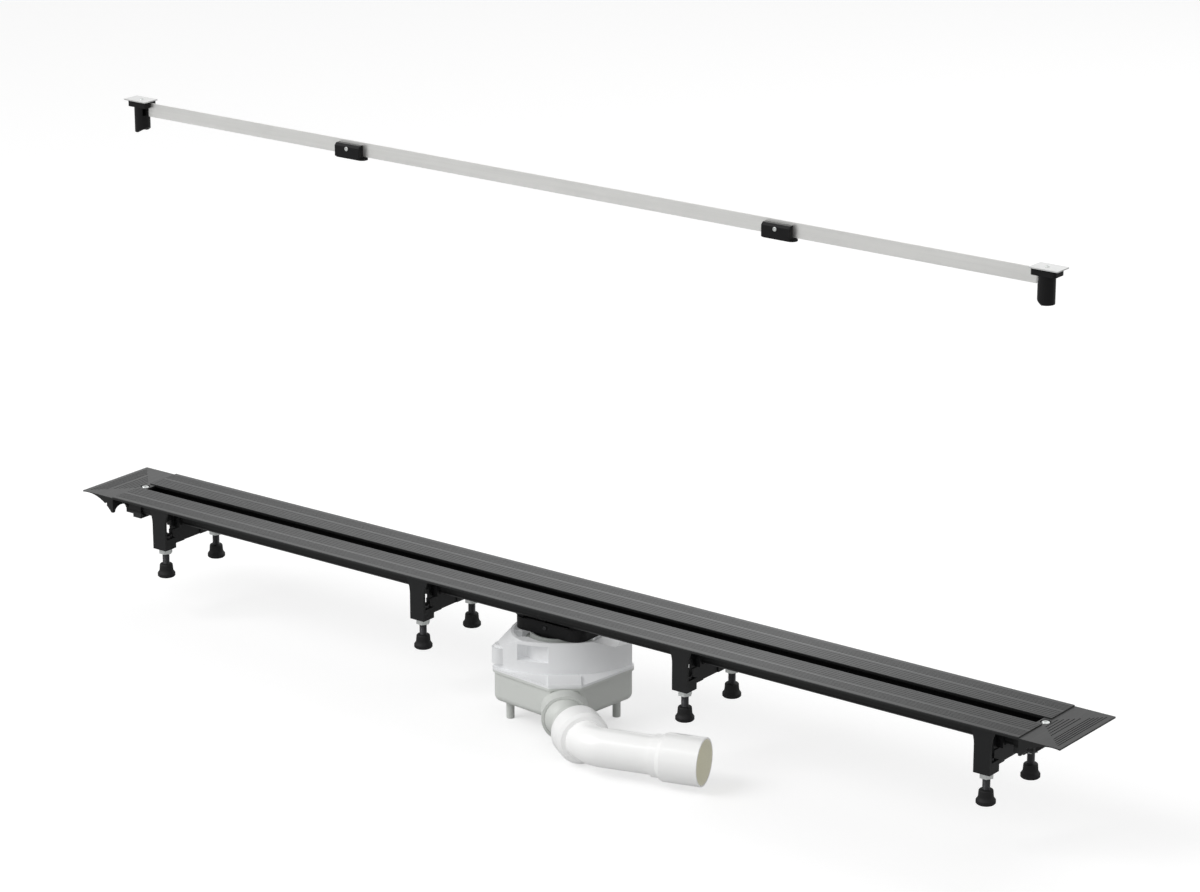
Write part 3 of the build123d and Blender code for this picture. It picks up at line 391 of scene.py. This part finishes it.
def pipeFinish(name, look, grained, mouth):
    # plastic, with the darker, warmer mouth colour, partly painted shade, where, in the sleeve's
    # own axes, along > -depth and across squared + height squared < innerRadius squared
    finish = plastic(name, look, grained)
    x, y, z = finish.axes()
    centreX, centreY, centreZ = mouth["centre"]
    cosine, sine = np.cos(np.radians(mouth["turn"])), np.sin(np.radians(mouth["turn"]))
    along = (x - centreX) * cosine + (y - centreY) * sine
    across = (y - centreY) * cosine - (x - centreX) * sine
    height = z - centreZ
    bore = (across * across + height * height).below(mouth["innerRadius"] ** 2)
    inside = along.above(-mouth["depth"]) * bore
    finish.feed("Base Color", finish.mix(inside, finish.fed("Base Color"), mouth["colour"]))
    return finish


# painted shade: the screws under the trough and the nuts inside the brackets are darkened, all
# others bright
screwShadeBand = {"low": 0.09, "high": 0.108, "colour": (0.05, 0.05, 0.052)}


def zincFinish(name, look, grained, dark):
    # brushed zinc, with the dark colour as painted shade where low < z < high
    finish = brushed(name, look, grained)
    height = finish.axes()[2]
    where = height.above(dark["low"]) * height.below(dark["high"])
    finish.feed("Base Color", finish.mix(where, finish.fed("Base Color"), dark["colour"]))
    return finish


finishes = {
    "profile_grey": ribbed("profileGrey", flangeLook, profileRun),
    "end_grey": ribbed("endGrey", flangeLook, endRun),
    "bracket_black": plastic("bracketBlack", looks["bracket"], plasticGrain),
    "black_plastic": plastic("blackPlastic", looks["black"], plasticGrain),
    "rod_black": brushed("rodBlack", looks["rod"], brushedGrain),
    "pad_rubber": plastic("padRubber", looks["rubber"], plasticGrain),
    "seal_rubber": plastic("sealRubber", looks["rubber"], plasticGrain),
    "zinc": zincFinish("zincPlated", looks["zinc"], brushedGrain, screwShadeBand),
    "strip_steel": brushed("stripSteel", looks["strip"], brushedGrain),
    "plate_steel": brushed("plateSteel", looks["plate"], brushedGrain),
    "tub_grey": plastic("tubGrey", looks["tub"], plasticGrain),
    "cup_grey": plastic("cupGrey", looks["cup"], plasticGrain),
    "lid_white": plastic("lidWhite", looks["lid"], plasticGrain),
    "pipe_white": pipeFinish("pipeWhite", looks["pipe"], plasticGrain, mouthShade),
}

for part in frame["record"]["subparts"]:
    target = nodes[part["node"]]
    target.data.materials.clear()
    target.data.materials.append(finishes[part["material_slot"]].material)


# pieces worked out as grids

def gridFaces(rows, columns):
    # the quad of cell (i, j) is (i, j), (i, j + 1), (i + 1, j + 1), (i + 1, j), as point numbers
    # i * columns + j, with j counted round the ring of columns
    i = np.arange(rows - 1)[:, None]
    j = np.arange(columns)[None, :]
    nextJ = (j + 1) % columns
    here, there = i * columns, (i + 1) * columns
    quads = np.stack([here + j, here + nextJ, there + nextJ, there + j], axis=-1)
    return quads.reshape(-1, 4).tolist()


def meshPiece(name, points, faces, slotName, bodyName, smooth=True):
    # a mesh of the points and faces, in the finish of its slot, riding on its body
    mesh = bpy.data.meshes.new(name)
    mesh.from_pydata(points.reshape(-1, 3).tolist(), [], faces)
    mesh.polygons.foreach_set("use_smooth", np.full(len(mesh.polygons), smooth))
    mesh.validate()
    mesh.update()
    piece = bpy.data.objects.new(name, mesh)
    bpy.context.collection.objects.link(piece)
    mesh.materials.append(finishes[slotName].material)
    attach(piece, bodyName)
    return piece


threadSettings = {
    "stations": (1, 2, 3, 4),
    "flanks": ("front", "back"),
    "pitch": 0.00125,
    "depth": 0.00055,
    "around": 20,
    "perTurn": 6,
    "chamfer": 0.0009,
}


def threadedRod(low, high, radius, settings):
    # r(z, a) = radius - depth * saw(z / pitch - a / 2 pi) - chamfer * taper, with saw running
    # 1..0..1 over a turn, and taper 1 at the ends, falling to 0 a chamfer away from them
    count = int((high - low) / settings["pitch"] * settings["perTurn"]) + 1
    z = np.linspace(low, high, count)[:, None]
    a = np.linspace(0, 2 * np.pi, settings["around"], endpoint=False)[None, :]
    phase = (z / settings["pitch"] - a / (2 * np.pi)) % 1.0
    saw = np.abs(2 * phase - 1)
    fromEnd = np.minimum(z - low, high - z)
    taper = np.clip((settings["chamfer"] - fromEnd) / settings["chamfer"], 0, 1)
    r = radius - settings["depth"] * saw - settings["chamfer"] * taper
    side = np.stack([r * np.cos(a), r * np.sin(a), z + 0 * a], axis=-1)
    nearEnd, farEnd = (np.tile((0, 0, end), (1, settings["around"], 1)) for end in (low, high))
    return np.concatenate([nearEnd, side, farEnd], axis=0)


rodCount = 0
for station in threadSettings["stations"]:
    for flank in threadSettings["flanks"]:
        place = f"{station}_{flank}"
        nodeName = f"foot_rod_{place}"
        low, high = (np.array(corner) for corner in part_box(nodeName))
        centre = (low + high) / 2
        points = threadedRod(low[2], high[2], (high[0] - low[0]) / 2, threadSettings)
        faces = gridFaces(points.shape[0], points.shape[1])
        points[..., :2] += centre[:2]
        rod = meshPiece(f"threaded_rod_{place}", points, faces, "rod_black", f"foot_{place}")
        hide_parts(nodeName)
        rodCount += 1
print("threaded rods:", rodCount)


# floor of the trap's tub beside its outlet, from the water space to the throat, with a lip
# down into the throat's wall; the profile is (reach, z), its two ends each closed by two faces
tubFloorSettings = {
    "centre": (0.011, -0.0068),
    "turn": -51.0,
    "profile": ((0.0295, 0.019), (0.053, 0.019), (0.053, 0.0148), (0.0553, 0.0148),
                (0.0553, 0.019), (0.0553, 0.0215), (0.0295, 0.0215)),
    "endFaces": ((0, 1, 4, 5, 6), (1, 2, 3, 4)),
    "level": 0.019,
    "halfWidth": 0.01035,
    "spread": 0.86,
    "steps": 25,
}


def floorPlate(settings):
    # the closed profile swept across, and turned round the centre by the angle:
    # half width = halfWidth + spread * (z - level), never under halfWidth
    reach, z = np.array(settings["profile"]).T
    rise = np.maximum(z - settings["level"], 0)
    half = settings["halfWidth"] + settings["spread"] * rise
    share = np.linspace(-1, 1, settings["steps"])[:, None]
    across = share * half[None, :]
    angle = np.radians(settings["turn"])
    x = settings["centre"][0] + reach * np.cos(angle) - across * np.sin(angle)
    y = settings["centre"][1] + reach * np.sin(angle) + across * np.cos(angle)
    side = np.stack([x, y, z + 0 * across], axis=-1)
    last = (settings["steps"] - 1) * len(reach)
    quads = [face[::-1] for face in gridFaces(settings["steps"], len(reach))]
    nearEnd = [list(face) for face in settings["endFaces"]]
    farEnd = [[last + i for i in reversed(face)] for face in settings["endFaces"]]
    return side, quads + nearEnd + farEnd


platePoints, plateFaces = floorPlate(tubFloorSettings)
meshPiece("tub_floor", platePoints, plateFaces, "tub_grey", "drain", smooth=False)
print("tub floor piece:", len(plateFaces), "faces")


# floor and lights

# the camera sees the floor lighter than it lights the object
stage = {
    "floorSize": 30.0,
    "floorColour": (0.55, 0.55, 0.55),
    "floorRough": 0.9,
    "floorSeen": (0.56, 0.56, 0.56),
    "worldLight": 0.5,
    "lampAim": (0, 0, 0.08),
}

half = stage["floorSize"] / 2
corners = [(-half, -half, 0), (half, -half, 0), (half, half, 0), (-half, half, 0)]
floorMesh = bpy.data.meshes.new("floor")
floorMesh.from_pydata(corners, [], [(0, 1, 2, 3)])
floor = bpy.data.objects.new("floor", floorMesh)
bpy.context.collection.objects.link(floor)
floorFinish = Finish("floorPaper", Base_Color=stage["floorColour"],
                     Roughness=stage["floorRough"], Emission_Strength=1.0)
floorSeen = floorFinish.out(floorFinish.add("ShaderNodeLightPath"), "Is Camera Ray")
seenColour = floorFinish.mix(floorSeen, (0.0, 0.0, 0.0), stage["floorSeen"])
floorFinish.feed("Emission Color", seenColour)
floorMesh.materials.append(floorFinish.material)

# the world is 1 to the camera, in mirrors and through glass, and worldLight to all other rays
world = bpy.data.worlds.new("studio")
bpy.context.scene.world = world
world.use_nodes = True
tree = world.node_tree
background = tree.nodes["Background"]
path = tree.nodes.new("ShaderNodeLightPath")
rayNames = ("Is Camera Ray", "Is Glossy Ray", "Is Transmission Ray")
seen, mirrored, through = (Sock(tree, path.outputs[rayName]) for rayName in rayNames)
direct = (seen + mirrored + through).clamped(0.0, 1.0)
strength = direct * (1 - stage["worldLight"]) + stage["worldLight"]
background.inputs["Color"].default_value = (1, 1, 1, 1)
tree.links.new(strength.link, background.inputs["Strength"])

lamps = {
    "keyLight": {"place": (-1.8, -2.6, 2.8), "size": 2.4, "power": 78},
    "fillLight": {"place": (3.0, -1.6, 2.2), "size": 2.2, "power": 5},
    "backLight": {"place": (0.4, 2.8, 2.6), "size": 2.4, "power": 26},
}
for lampName, lamp in lamps.items():
    data = bpy.data.lights.new(lampName, "AREA")
    data.shape = "SQUARE"
    data.size = lamp["size"]
    data.energy = lamp["power"]
    lampObject = bpy.data.objects.new(lampName, data)
    bpy.context.collection.objects.link(lampObject)
    aimAt(lampObject, lamp["place"], stage["lampAim"])
print("stage and lights set")
